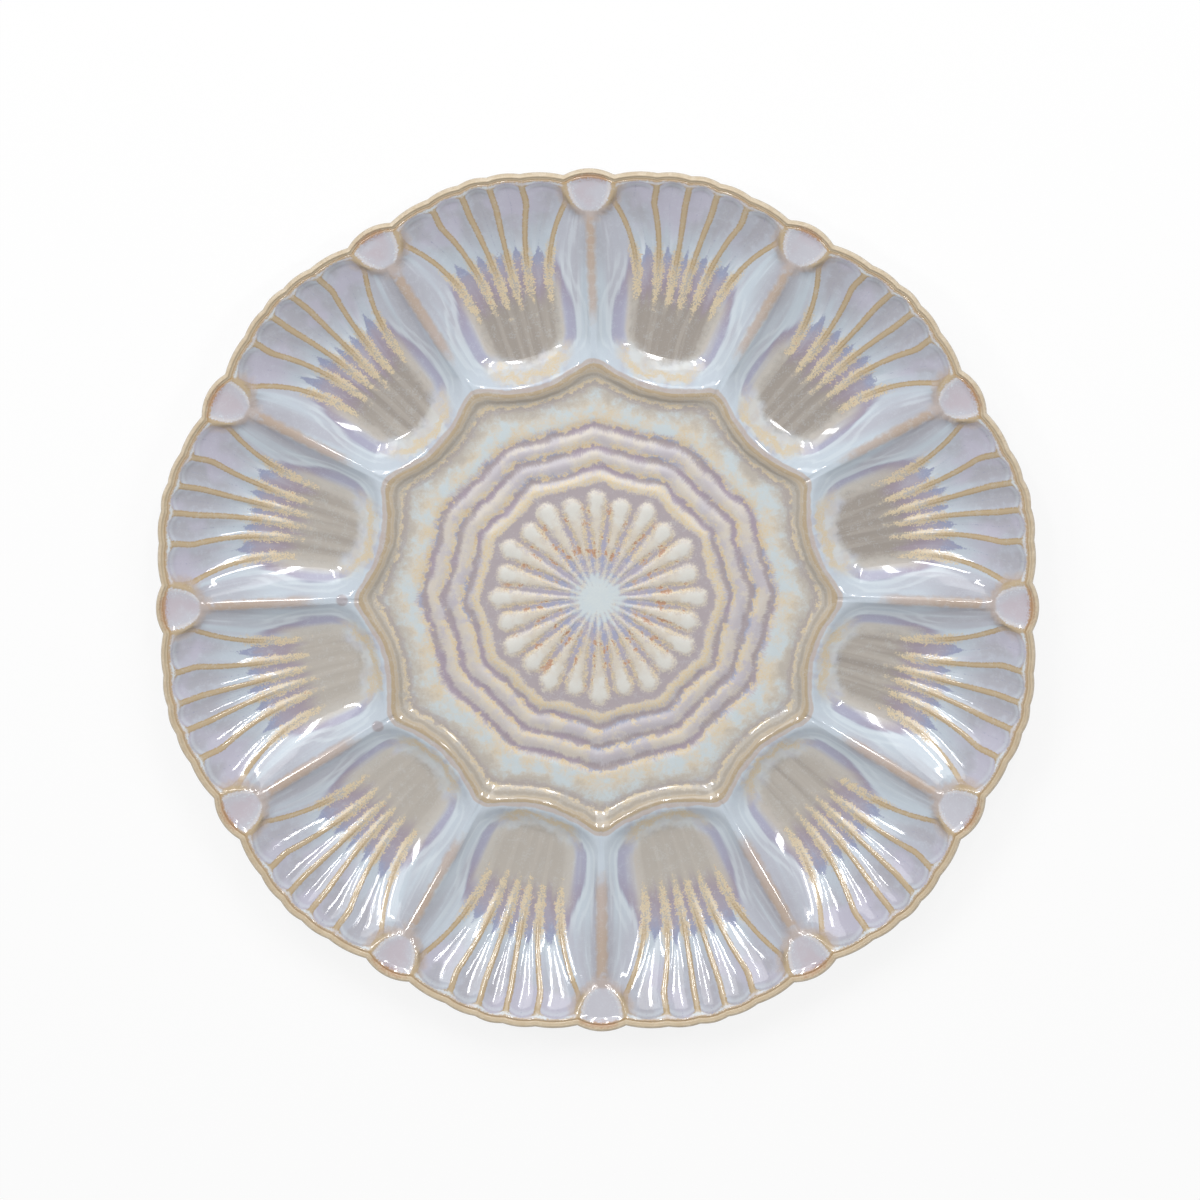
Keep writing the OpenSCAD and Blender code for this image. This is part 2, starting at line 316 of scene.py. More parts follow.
def centre_h(v, t):
    bead = RING_BEAD * np.exp(-(((v - RING_BEAD_R) / RING_BEAD_W) ** 2))
    wall = (CREST_H - FLOOR_H) * smooth((v - CENTRE_R + CENTRE_WALL_W) / CENTRE_WALL_W)
    return FLOOR_H + drop_h(centre_radius(v, t), t) + bead - groove_depth(v) + wall + GLAZE_T


def under_h(r, t):
    inner = smooth((r - UNDER_FLAT_R) / (BOTTOM_R - UNDER_FLAT_R))
    return mix(UNDER_H, bowl_h(np.maximum(r, BOTTOM_R), t) - WALL_T, inner)


# Rings of points. Each ring has one sector's columns, repeated round the axis
def sector_columns(count):
    return 2 * np.arange(count) / count - 1


def column_angles(c, r):
    """Angles of a well's columns: those of the flutes follow the ribs as they fan out."""
    opening = smooth((r - FAN_R + FLUTE_START / 2) / FLUTE_START)
    fan = mix(HALF * FLUTE_SHARE, fan_angle(r), opening)
    even = c / FLUTE_SHARE
    inside = mix(even, np.interp(even, EVEN_PLACES, RIB_PLACES), opening) * fan
    outside = np.sign(c) * mix(fan, HALF, (np.abs(c) - FLUTE_SHARE) / (1 - FLUTE_SHARE))
    return np.where(np.abs(c) <= FLUTE_SHARE, inside, outside)


def all_round(r, t, z):
    """Points of one sector repeated for every well, in metres."""
    angle = (2 * np.arange(WELLS)[:, None] + 1) * HALF + t[None, :]
    x = r * np.cos(angle)
    y = r * np.sin(angle)
    return np.stack([x, y, np.broadcast_to(z, x.shape)], axis=-1).reshape(-1, 3) * MM


def well_columns(radius, count):
    """Radii and angles of a ring whose radius depends on the angle."""
    c = sector_columns(count)
    t = column_angles(c, radius(HALF * c))
    return radius(t), t


class Rings:
    """A closed shell as a list of rings of points, each with its marks for the material."""

    MARKS = ("flutes", "edges", "forms", "flow")

    def __init__(self):
        self.points = []
        self.marks = {name: [] for name in self.MARKS}

    def add(self, r, t, z, **marks):
        self.points.append(all_round(r, t, z))
        for name in self.MARKS:
            mark = marks.get(name, (0.0, 0.0, 0.0))
            sector = np.stack([np.broadcast_to(m, t.shape) for m in mark], axis=-1)
            self.marks[name].append(np.tile(sector, (WELLS, 1)))

    def add_middle(self, z, **marks):
        self.points.append(np.array([[0.0, 0.0, z * MM]]))
        for name in self.MARKS:
            self.marks[name].append(np.array([marks.get(name, (0.0, 0.0, 0.0))], float))

    def faces(self, closed):
        """Faces between neighbouring rings, and between the last and the first if closed."""
        sizes = [len(ring) for ring in self.points]
        starts = np.concatenate([[0], np.cumsum(sizes)])
        pairs = [(i, i + 1) for i in range(len(sizes) - 1)]
        if closed:
            pairs.append((len(sizes) - 1, 0))
        faces = []
        for i, k in pairs:
            faces += band_faces(starts[i], sizes[i], starts[k], sizes[k])
        return faces

    def mesh(self, name, material, closed=False):
        mesh = bpy.data.meshes.new(name)
        mesh.from_pydata(np.concatenate(self.points).tolist(), [], self.faces(closed))
        for mark in self.MARKS:
            attribute = mesh.attributes.new(mark, "FLOAT_VECTOR", "POINT")
            values = np.concatenate(self.marks[mark]).astype(np.float32)
            attribute.data.foreach_set("vector", values.ravel())
        mesh.polygons.foreach_set("use_smooth", np.ones(len(mesh.polygons), bool))
        mesh.materials.append(material)
        mesh.update()
        piece = bpy.data.objects.new(name, mesh)
        bpy.context.scene.collection.objects.link(piece)
        return piece


def band_faces(a, size_a, b, size_b):
    """Faces between two neighbouring rings, of which one may have a multiple of the other's points."""
    if size_a == size_b:
        j = np.arange(size_a)
        k = (j + 1) % size_a
        return np.stack([a + j, b + j, b + k, a + k], axis=-1).tolist()
    many, few = max(size_a, size_b), min(size_a, size_b)
    ratio = many // few
    j = np.arange(many)
    k = (j + 1) % many
    near = ((j + ratio // 2) // ratio) % few
    outer = [a + near, b + j, b + k] if size_b > size_a else [a + j, b + near, a + k]
    faces = np.stack(outer, axis=-1).tolist()
    if few > 1:
        j = np.arange(few)
        k = (j + 1) % few
        middle = (j * ratio + (ratio + 1) // 2) % many
        inner = [a + j, b + middle, a + k] if size_b > size_a else [a + middle, b + j, b + k]
        faces += np.stack(inner, axis=-1).tolist()
    return faces


# Marks that tell the glaze where it is, in millimetres and shares
FLOOR_STREAM_W = 12.5
SIDE_STREAM_W = 14.0
LEVEL_END_W = 7.7
LEVEL_BLEND = 1.2
# Marks in the centre well, which is far from ribs, ridges, tabs and the lip, and outside the fans
FAR = 9.0
FAR_FROM_LIP = 99.0
OUTSIDE_FAN = 3.0


def well_marks(r, t):
    a = np.abs(t)
    fan = fan_angle(r)
    place, half_share = flute_at(t, fan)
    to_rib = np.where(a < fan, (1 - np.abs(place)) * half_share * fan * r, (a - fan) * r)
    to_ridge = (HALF - a) * r
    side_w = np.maximum(HALF - fan, TINY)
    side = clamp01((a - fan) / side_w)
    to_axis = np.abs(place) * half_share * fan * r
    stream = np.minimum(a / fan, 1) * FLOOR_STREAM_W + side * SIDE_STREAM_W
    past_crest = r - crest_at(t)
    level = soft_min((HALF - a) / side_w, (past_crest - CREST_W) / LEVEL_END_W, LEVEL_BLEND)
    return {
        "flutes": (to_rib, to_ridge, a / fan),
        "edges": (past_crest, land_at(t) - r, tab_angle(r) * r - to_ridge),
        "forms": (CENTRE_R + past_crest, flute_end(t, place) - r, level),
        "flow": (stream, to_axis, 0.0),
    }


def centre_marks(v, t):
    _, inside_drop = drop_shape(centre_radius(v, t), t)
    return {
        "flutes": (FAR, FAR, OUTSIDE_FAN),
        "edges": (v - CENTRE_R, FAR_FROM_LIP, -FAR),
        "forms": (v, inside_drop, 0.0),
        "flow": (0.0, FAR, 0.0),
    }


# Rows of the meshes: radii in the centre well, distances from the crest at the inner end of a well,
# and shares of the way from there to the land. The fine rows lie closer where the flutes end
BULB_R = ROSETTE_R - 2 * DROP_BULB_R
ROSETTE_EDGE_R = ROSETTE_R + 0.5
WALL_FOOT_R = CENTRE_R - CENTRE_WALL_W
FLUTE_END_SHARE = 0.84
CENTRE_ROWS = np.concatenate([
    [3.0, 6.0],
    np.linspace(HUB_R, BULB_R, 18),
    np.linspace(BULB_R, ROSETTE_EDGE_R, 18)[1:],
    np.linspace(ROSETTE_EDGE_R, RING_BAND_R, 28)[1:],
    np.linspace(RING_BAND_R, WALL_FOOT_R, 5)[1:],
    np.linspace(WALL_FOOT_R, CENTRE_R, 10)[1:-1],
])
END_ROWS = np.concatenate([np.linspace(0, CREST_W, 4), CREST_W + WELL_END_W * np.linspace(0, 1, 13)[1:]])
WELL_ROWS = np.concatenate([np.linspace(0, FLUTE_END_SHARE, 28)[1:], np.linspace(FLUTE_END_SHARE, 1, 18)[1:]])
HIDDEN_WELL_ROWS = [1, 0.98, 0.95, 0.9, 0.83, 0.74, 0.62, 0.48, 0.32, 0.16, 0]
HIDDEN_FLOOR_H = FLOOR_H - HIDDEN_DEPTH


def end_wall_r(t):
    return crest_at(t) + CREST_W + WELL_END_W


def hidden_well_h(r, t):
    """The inside of the shell, where clay and glaze meet out of sight."""
    deep = smooth((land_at(t) - r) / HIDDEN_SLOPE)
    return bowl_h(r, t) - mix(HIDDEN_EDGE, HIDDEN_DEPTH, deep)


def hidden_rows():
    """Rings under the glaze and on the clay, the same for both, from the land to the floor of the centre."""
    for share in HIDDEN_WELL_ROWS:
        r, t = well_columns(lambda t: mix(end_wall_r(t), land_at(t), share), HIDDEN_COLUMNS)
        yield r, t, hidden_well_h(r, t)
    t = HALF * sector_columns(HIDDEN_COLUMNS)
    yield crest_at(t) + CREST_W / 2, t, CREST_H - HIDDEN_DEPTH
    yield crest_at(t) - CENTRE_WALL_W, t, HIDDEN_FLOOR_H


def make_upper_glaze(material):
    rings = Rings()
    rings.add_middle(FLOOR_H + GLAZE_T, **centre_marks(0.0, 0.0))
    t = HALF * sector_columns(CENTRE_COLUMNS)
    for row in CENTRE_ROWS:
        v = np.full_like(t, row)
        rings.add(centre_radius(v, t), t, centre_h(v, t), **centre_marks(v, t))
    for row in END_ROWS:
        r, t = well_columns(lambda t: crest_at(t) + row, WELL_COLUMNS)
        rings.add(r, t, well_h(r, t), **well_marks(r, t))
    for row in WELL_ROWS:
        r, t = well_columns(lambda t: mix(end_wall_r(t), land_at(t), row), WELL_COLUMNS)
        rings.add(r, t, well_h(r, t), **well_marks(r, t))
    for r, t, height in hidden_rows():
        rings.add(r, t, height)
    rings.add_middle(HIDDEN_FLOOR_H)
    return rings.mesh("upper_glaze_coat", material)


# Profile of the lip from the land outwards: distance from the land, and height
LIP_TOP_W = 1.2
LIP_STEPS = 5
LIP_BELLY = (0.3, 1.5)


def lip_profile():
    turn = np.linspace(0, math.pi / 2, LIP_STEPS + 1)
    inner_h = LAND_H + GLAZE_T
    rise = [(LIP_TOP_W * math.sin(a), RIM_H - (RIM_H - inner_h) * math.cos(a) ** 2) for a in turn]
    fall = [(LIP_TOP_W + (LIP_W - LIP_TOP_W) * math.sin(a), LIP_EDGE_H + LIP_DROP * math.cos(a))
            for a in turn[1:]]
    under = [(LIP_W - LIP_BELLY[0], LIP_EDGE_H - LIP_BELLY[1]), (LIP_W - RIM_INSET, RIM_UNDER_H)]
    return rise + fall + under


def make_body(material):
    rings = Rings()
    rings.add_middle(HIDDEN_FLOOR_H)
    for r, t, height in reversed(list(hidden_rows())):
        rings.add(r, t, height)
    for out, height in lip_profile():
        r, t = well_columns(lambda t: land_at(t) + out, WELL_COLUMNS)
        marks = {"edges": (out, 0.0, 0.0), "flutes": (0.0, (HALF - np.abs(t)) * r, 0.0)}
        rings.add(r, t, height, **marks)
    for r, t, height in under_rows(CENTRE_COLUMNS):
        rings.add(r, t, height + UNDER_CLEARANCE)
    rings.add_middle(UNDER_H + UNDER_CLEARANCE)
    return rings.mesh("stoneware_clay", material)


# The underside, from the lip to the foot ring: shares of the way out, and room between clay and glaze
UNDER_ROWS = np.linspace(0.97, 0, 24)
UNDER_CLEARANCE = 0.1


def under_rows(columns):
    t = HALF * sector_columns(columns)
    yield rim_at(t) - RIM_INSET, t, np.full_like(t, RIM_UNDER_H)
    for share in UNDER_ROWS:
        r = mix(UNDER_FLAT_R, rim_at(t) - RIM_INSET, share)
        yield r, t, np.minimum(under_h(r, t), RIM_UNDER_H)
    yield np.full_like(t, FOOT_R + UNDER_CLEARANCE), t, np.full_like(t, UNDER_H)


def make_underside_glaze(material):
    rings = Rings()
    for r, t, height in reversed(list(under_rows(CENTRE_COLUMNS))):
        rings.add(r, t, height)
    for r, t, height in under_rows(CENTRE_COLUMNS):
        marks = {"edges": (rim_at(t) - r, 0.0, 0.0), "flutes": (0.0, (HALF - np.abs(t)) * r, 0.0)}
        rings.add(r, t, height - GLAZE_T, **marks)
    return rings.mesh("underside_glaze_coat", material, closed=True)


# Materials
def srgb(red, green, blue):
    """A colour as a picture shows it, from 0 to 255, as the shader's linear colour."""
    linear = []
    for channel in (red, green, blue):
        c = channel / 255
        linear.append(c / 12.92 if c <= 0.04045 else ((c + 0.055) / 1.055) ** 2.4)
    return (*linear, 1.0)


class Shade:
    """Builds the nodes of one material, with one call for each step."""

    def __init__(self, name):
        self.material = bpy.data.materials.new(name)
        self.material.use_nodes = True
        self.tree = self.material.node_tree
        self.tree.nodes.clear()
        output = self.node("ShaderNodeOutputMaterial")
        self.bsdf = self.node("ShaderNodeBsdfPrincipled")
        self.put(output.inputs["Surface"], self.bsdf.outputs["BSDF"])

    def node(self, kind):
        return self.tree.nodes.new(kind)

    def put(self, socket, value):
        if isinstance(value, bpy.types.NodeSocket):
            self.tree.links.new(value, socket)
        else:
            socket.default_value = value

    def math(self, operation, a, b=0.0):
        node = self.node("ShaderNodeMath")
        node.operation = operation
        self.put(node.inputs[0], a)
        self.put(node.inputs[1], b)
        return node.outputs[0]

    def times(self, *factors):
        product = factors[0]
        for factor in factors[1:]:
            product = self.math("MULTIPLY", product, factor)
        return product

    def add(self, a, b):
        return self.math("ADD", a, b)

    def step(self, x, low, high):
        """0 at low and 1 at high, with low above high for a falling step."""
        node = self.node("ShaderNodeMapRange")
        node.interpolation_type = "SMOOTHSTEP"
        self.put(node.inputs["Value"], x)
        node.inputs["From Min"].default_value = low
        node.inputs["From Max"].default_value = high
        return node.outputs["Result"]

    def band(self, x, start, full, end, gone):
        return self.times(self.step(x, start, full), self.step(x, gone, end))

    def shift(self, x, noise, width):
        """x moved to and fro by a noise, to make an edge ragged."""
        return self.add(x, self.times(self.add(noise, -0.5), width))

    def edge(self, x, noise, width, low, high):
        """A step that a noise makes ragged."""
        return self.step(self.shift(x, noise, width), low, high)

    def blend(self, share, a, b):
        node = self.node("ShaderNodeMix")
        node.data_type = "RGBA"
        self.put(node.inputs["Factor"], share)
        self.put(node.inputs["A"], a)
        self.put(node.inputs["B"], b)
        return node.outputs["Result"]

    def marks(self, name):
        attribute = self.node("ShaderNodeAttribute")
        attribute.attribute_name = name
        split = self.node("ShaderNodeSeparateXYZ")
        self.put(split.inputs[0], attribute.outputs["Vector"])
        return split.outputs

    def join(self, x, y, z):
        node = self.node("ShaderNodeCombineXYZ")
        for socket, value in zip(node.inputs, (x, y, z)):
            self.put(socket, value)
        return node.outputs[0]

    def place(self):
        """Place on the object in millimetres, its distance from the axis and its direction."""
        coordinates = self.node("ShaderNodeTexCoord")
        scale = self.node("ShaderNodeVectorMath")
        scale.operation = "SCALE"
        scale.inputs["Scale"].default_value = 1 / MM
        self.put(scale.inputs[0], coordinates.outputs["Object"])
        split = self.node("ShaderNodeSeparateXYZ")
        self.put(split.inputs[0], scale.outputs[0])
        x, y = split.outputs[0], split.outputs[1]
        radius = self.math("SQRT", self.add(self.times(x, x), self.times(y, y)))
        divisor = self.math("MAXIMUM", radius, 1.0)
        return scale.outputs[0], radius, self.math("DIVIDE", x, divisor), self.math("DIVIDE", y, divisor)

    def noise(self, where, size, detail=2.0, w=None, roughness=0.5):
        """Noise of a given size in mm, in four dimensions if w is given."""
        node = self.node("ShaderNodeTexNoise")
        self.put(node.inputs["Vector"], where)
        if w is not None:
            node.noise_dimensions = "4D"
            self.put(node.inputs["W"], w)
        node.inputs["Scale"].default_value = 1 / size
        node.inputs["Detail"].default_value = detail
        node.inputs["Roughness"].default_value = roughness
        return node.outputs["Fac"]

    def bump(self, height, strength, distance):
        node = self.node("ShaderNodeBump")
        node.inputs["Strength"].default_value = strength
        node.inputs["Distance"].default_value = distance * MM
        self.put(node.inputs["Height"], height)
        self.put(self.bsdf.inputs["Normal"], node.outputs["Normal"])


LAVENDER = srgb(182, 185, 196)
PALE_BLUE = srgb(193, 204, 214)
WHITE_BLUE = srgb(213, 222, 228)
STREAK_BLUE = srgb(184, 194, 204)
LILAC = srgb(184, 181, 197)
GREY_LAVENDER = srgb(176, 179, 190)
MAUVE_GREY = srgb(168, 167, 176)
TAUPE = srgb(150, 142, 134)
PALE_TAUPE = srgb(176, 169, 160)
DARK_TAUPE = srgb(140, 129, 117)
LIGHT_TAUPE = srgb(190, 183, 174)
BEIGE = srgb(190, 180, 165)
VIOLET = srgb(148, 133, 150)
BROWN_VIOLET = srgb(150, 138, 142)
SOFT_VIOLET = srgb(162, 161, 184)
BLUE = srgb(134, 152, 188)
GOLD = srgb(210, 190, 151)
DEEP_GOLD = srgb(200, 168, 116)
CREAM = srgb(206, 197, 182)
PALE_SEA = srgb(194, 204, 208)
WHITE = srgb(213, 212, 206)
TAN = srgb(170, 146, 108)
LIGHT_TAN = srgb(186, 165, 132)
PINK_TAN = srgb(184, 166, 154)
RIDGE_TAN = srgb(180, 158, 138)
PINK = srgb(188, 174, 182)
PAD = srgb(190, 190, 199)
PEARL = srgb(206, 202, 204)
RUST = srgb(168, 104, 60)
BROWN = srgb(178, 148, 106)
MAUVE = srgb(194, 187, 184)
PALE_MAUVE = srgb(184, 178, 184)
DARK_MAUVE = srgb(166, 156, 160)
GAP_VIOLET = srgb(166, 160, 176)
HUB_BLUE = srgb(203, 213, 216)
CLAY = srgb(201, 185, 160)
PALE_CLAY = srgb(211, 197, 175)
LIP_CLAY = srgb(191, 171, 141)
PALE_LIP_CLAY = srgb(205, 190, 164)

# Sizes of the noises, in mm
FINE_SIZE = 0.6
GRAIN_SIZE = 2.6
PATCH_SIZE = 6.0
RAGGED_SIZE = 7.0
CLOUD_SIZE = 18.0
FLOW_SIZE = 1.7
BROAD_SIZE = 5.0
RIPPLE_SIZE = 0.55
FEATHER_SIZE = 0.35
CLAY_GRAIN_SIZE = 3.0
UNDER_CLOUD_SIZE = 20.0
UNDER_STREAK_SIZE = 3.0

# Glaze: refraction, least roughness, what the grain, gold crumbs and centre add to it, depth of the bumps
GLAZE_IOR = 1.6
MATT_LEAST = 0.03
MATT_GRAIN = 0.08
MATT_GOLD = 0.25
MATT_CENTRE = 0.32
BUMP_DEPTH = 0.1

# Radius at which the feathered edges of the rings have their stated width, and their length
FEATHER_R = 53.0
FEATHER_L = 3.0
# Radius at which the streaks of the underside have their stated width, and their length over it
UNDER_STREAK_R = 120.0
UNDER_STRETCH = 10.0
# Length of the streaks in the wells over their width, and how much they differ between wells
STREAM_STRETCH = 14.0
WELL_VARIETY = 8.0
# Height of the fine ripples along the flutes, relative to the unevenness elsewhere
RIPPLE = 24.0

# Painted shade: how much darker the floors of the wells on the side of +Y and +X are painted, for their
# dimmer reflections
FLOOR_PAINTED_SHADE = (0.13, 0.22)

# Patches in a well: two gold streaks along each rib, a tongue in each flute, a flame on each side
GOLD_W = 1.6
GOLD_APART = 1.0
TONGUE_W = 7.0
TONGUE_END_R = 132.5
FLAME_EDGE = 0.44
FLAME_END_R = 126.0
RIDGE_END_R = TAB_TIP_R - 3.0
# Share of the way to the outermost rib at which a fan ends
IN_FAN = (1.03, 0.97)
# Radii between which the patches of a well set in or fade: two for an edge, four for a band
RIDGE_GREY_R = (114, 132)
CUSP_PALE_R = (110, 100)
FLAME_TAPER_R = (FLAME_END_R - 22, FLAME_END_R + 2)
FLAME_R = (87, 95, FLAME_END_R - 6, FLAME_END_R + 2)
FLAME_CORE_R = (102, 118)
RIPPLE_R = (118, 126)
STREAK_R = (116, 127, 132, 146)
FLUTE_GREY_R = (130, 146)
FLUTE_SPECK_R = (126, 132)
ARCH_R = (139, 144)
BEIGE_R = (92, 97, 112, 122)
FLOOR_R = (124, 113)
TONGUE_R = (107, 117)
TONGUE_TAPER_R = (TONGUE_END_R + 1, TONGUE_END_R - 8)
TONGUE_TIP_R = (123, 130)
GOLD_APART_R = (108, 121)
GOLD_WIDE_R = (103, 117)
GOLD_R = (107, 112, 128, 133)
RIB_TAUPE_R = (110, 118, 127, 131)
RIB_WIDE_R = (118, 150)
RIB_R = (119, 128)
FLARE_R = (140, 144)
PAST_RIDGE_R = (RIDGE_END_R - 2, RIDGE_END_R + 2)
RIDGE_R = (99, 110, *PAST_RIDGE_R)
RIDGE_TAN_R = (112, 128)
TAB_BORDER_R = (TAB_TIP_R + 1, TAB_TIP_R + 5)
TAB_R = (TAB_TIP_R + 0.6, TAB_TIP_R + 2)
BETWEEN_ARCHES_R = (145, 147)
# The same in the centre well, where a place is named by its radius in the middle of a sector
FLOOR_CRUMBS_V = (71, 66)
WALL_BEIGE_V = (73, 78)
WALL_V = (67.5, 73.5)
WALL_SHADE_V = (71.8, 73, 74.2, 75)
WALL_CRUMBS_V = (73.8, 74.4, 75.0, 75.6)
RING_BAND_V = (RING_BAND_R - 0.4, RING_BAND_R - 2.0)
RING_CRUMBS_V = (68, 65)
GOLD_RING_V = (40.6, 41.8, 43.2, 44.6)
ROSETTE_V = (41.4, 40.2)
GAP_VIOLET_V = (32, 16)
GAP_BLUE_V = (30, 12)
DROP_WHITE_V = (25, 33)
DROP_GOLD_V = (13, 18, 32, 38)
STAR_V = (13, 6)
# Radii at the foot ring between which the underside's glaze is worn to brown
FOOT_OUTER_R = (FOOT_R + 3.5, FOOT_R + 1.5)
FOOT_INNER_R = (FOOT_R - 3.0, FOOT_R - 1.0)
# Lines along the crest: from and to, in mm outwards, share and colour
CREST_LINES = (
    # Painted shade: a dark taupe line on the centre wall just inside the crest
    (-3.4, -2.6, 0.4, DARK_TAUPE),
    (-2.1, -1.6, 0.5, LIGHT_TAN),
    (-1.1, 0.2, 0.7, TAN),
    (0.5, 1.7, 0.75, PINK_TAN),
)
# Two round spots in the glaze by the cusps, as x and y in mm, and their radius
SPOTS = ((-92.7, 0.0), (-80.8, -47.1))
SPOT_R = 2.1


def pearl_glaze():
    s = Shade("pearl_glaze")
    g = SimpleNamespace()
    g.rib, g.ridge, g.fan = s.marks("flutes")
    g.crest, g.land, g.tab = s.marks("edges")
    g.ring, g.form, g.level = s.marks("forms")
    across, g.axis, _ = s.marks("flow")
    at, g.radius, g.east, g.north = s.place()
    stream = s.join(across, s.times(g.radius, 1 / STREAM_STRETCH), s.times(g.east, WELL_VARIETY))
    turn = s.times(g.north, WELL_VARIETY)
    round_x, round_y = s.times(g.east, FEATHER_R), s.times(g.north, FEATHER_R)
    feathers = s.join(round_x, round_y, s.times(g.radius, 0.5 / FEATHER_L))
    g.fine = s.noise(at, FINE_SIZE)
    g.grain = s.noise(at, GRAIN_SIZE, 3)
    g.patch = s.noise(at, PATCH_SIZE)
    g.ragged = s.noise(at, RAGGED_SIZE, 6, roughness=0.7)
    g.cloud = s.noise(at, CLOUD_SIZE)
    g.flow = s.noise(stream, FLOW_SIZE, w=turn)
    g.broad = s.noise(stream, BROAD_SIZE, w=turn)
    g.feather = s.noise(feathers, FEATHER_SIZE)
    g.crumbs = s.step(s.add(s.times(g.fine, 0.65), s.times(g.grain, 0.35)), 0.42, 0.56)

    colour = s.blend(s.step(g.crest, -0.2, 0.2), centre_colour(s, g), well_colour(s, g))
    for low, high, share, line in CREST_LINES:
        on_line = s.band(s.shift(g.crest, g.patch, 2), low - 0.5, low + 0.2, high - 0.2, high + 0.5)
        colour = s.blend(s.times(on_line, share), colour, line)
    for x, y in SPOTS:
        aside = s.add(s.times(g.radius, g.east), -x)
        along = s.add(s.times(g.radius, g.north), -y)
        away = s.math("SQRT", s.add(s.times(aside, aside), s.times(along, along)))
        colour = s.blend(s.times(s.step(away, SPOT_R + 0.5, SPOT_R - 0.5), 0.8), colour, DARK_MAUVE)
    mottle = s.add(s.times(g.fine, 0.5), s.times(g.grain, 0.5))
    colour = s.blend(s.times(s.step(mottle, 0.5, 0.64), 0.14), colour, WHITE_BLUE)

    s.put(s.bsdf.inputs["Base Color"], colour)
    matt = s.add(s.times(g.grain, MATT_GRAIN), MATT_LEAST)
    matt = s.add(matt, s.times(g.gold, MATT_GOLD))
    s.put(s.bsdf.inputs["Roughness"], s.add(matt, s.times(s.step(g.crest, -4, -8), MATT_CENTRE)))
    s.bsdf.inputs["IOR"].default_value = GLAZE_IOR
    in_flutes = s.times(s.step(g.fan, *IN_FAN), s.step(g.radius, *RIPPLE_R))
    ripples = s.times(s.noise(stream, RIPPLE_SIZE, w=turn), in_flutes, RIPPLE)
    s.bump(s.add(s.add(s.times(g.fine, 0.1), g.grain), ripples), 0.025, BUMP_DEPTH)
    return s.material


def well_colour(s, g):
    """Colour of an egg well, laid down from the walls to the edges."""
    colour = wall_colour(s, g)
    colour = flute_colour(s, g, colour)
    colour = floor_colour(s, g, colour)
    colour = rib_colour(s, g, colour)
    return edge_colour(s, g, colour)


def wall_colour(s, g):
    """Side walls: pale streaks, and a violet flame with a pale line round it."""
    colour = s.blend(s.step(g.broad, 0.4, 0.6), LAVENDER, PALE_BLUE)
    lines = s.times(s.step(g.flow, 0.54, 0.66), s.step(g.fan, 1.05, 1.3), 0.35)
    colour = s.blend(lines, colour, WHITE_BLUE)
    by_ridge = s.times(s.edge(g.ridge, g.flow, 8, 9, 3), s.step(g.radius, *RIDGE_GREY_R), 0.7)
    colour = s.blend(by_ridge, colour, MAUVE_GREY)
    by_cusp = s.times(s.edge(g.ridge, g.broad, 10, 12, 6), s.step(g.radius, *CUSP_PALE_R), 0.8)
    colour = s.blend(by_cusp, colour, PALE_BLUE)

    rough = s.shift(s.shift(g.level, g.flow, 0.2), g.broad, 0.3)
    flame = s.add(rough, s.times(s.step(g.radius, *FLAME_TAPER_R), -0.35))
    along = s.band(s.shift(g.radius, g.broad, 12), *FLAME_R)
    in_range = s.times(s.step(g.fan, 0.85, 1.05), along)
    lines = s.math("MAXIMUM", s.band(flame, 0.16, 0.2, 0.22, 0.27), s.band(flame, 0.32, 0.36, 0.4, 0.45))
    colour = s.blend(s.times(lines, in_range, 0.4), colour, WHITE_BLUE)
    violet = s.band(flame, FLAME_EDGE - 0.03, FLAME_EDGE + 0.05, FLAME_EDGE + 0.14, FLAME_EDGE + 0.4)
    colour = s.blend(s.times(violet, in_range, 0.9), colour, SOFT_VIOLET)
    core = s.times(s.band(flame, FLAME_EDGE, FLAME_EDGE + 0.06, FLAME_EDGE + 0.1, FLAME_EDGE + 0.3), in_range)
    core = s.times(core, s.edge(g.radius, g.broad, 14, *FLAME_CORE_R))
    return s.blend(s.times(core, 0.6), colour, VIOLET)


def flute_colour(s, g, colour):
    """Flutes: pale blue streaks where they begin, then grey or lilac."""
    in_fan = s.step(g.fan, *IN_FAN)
    start = s.times(in_fan, s.band(s.shift(g.radius, g.flow, 30), *STREAK_R))
    colour = s.blend(s.times(start, 0.9), colour, s.blend(s.step(g.flow, 0.5, 0.72), STREAK_BLUE, WHITE_BLUE))
    outer = s.times(in_fan, s.edge(g.radius, g.flow, 20, *FLUTE_GREY_R))
    grey = s.blend(s.edge(g.axis, g.grain, 6, 1.5, 4), MAUVE_GREY, GREY_LAVENDER)
    grey = s.blend(s.step(g.cloud, 0.46, 0.62), grey, LILAC)
    colour = s.blend(s.times(outer, 0.9), colour, grey)
    specks = s.times(in_fan, s.step(g.radius, *FLUTE_SPECK_R), s.step(g.fine, 0.76, 0.79))
    colour = s.blend(s.times(specks, 0.7), colour, DARK_TAUPE)
    outline = s.band(s.shift(g.form, g.fine, 1), 0.4, 0.9, 1.1, 2.2)
    outline = s.times(outline, in_fan, s.step(g.radius, *ARCH_R))
    return s.blend(s.times(outline, 0.35), colour, WHITE_BLUE)


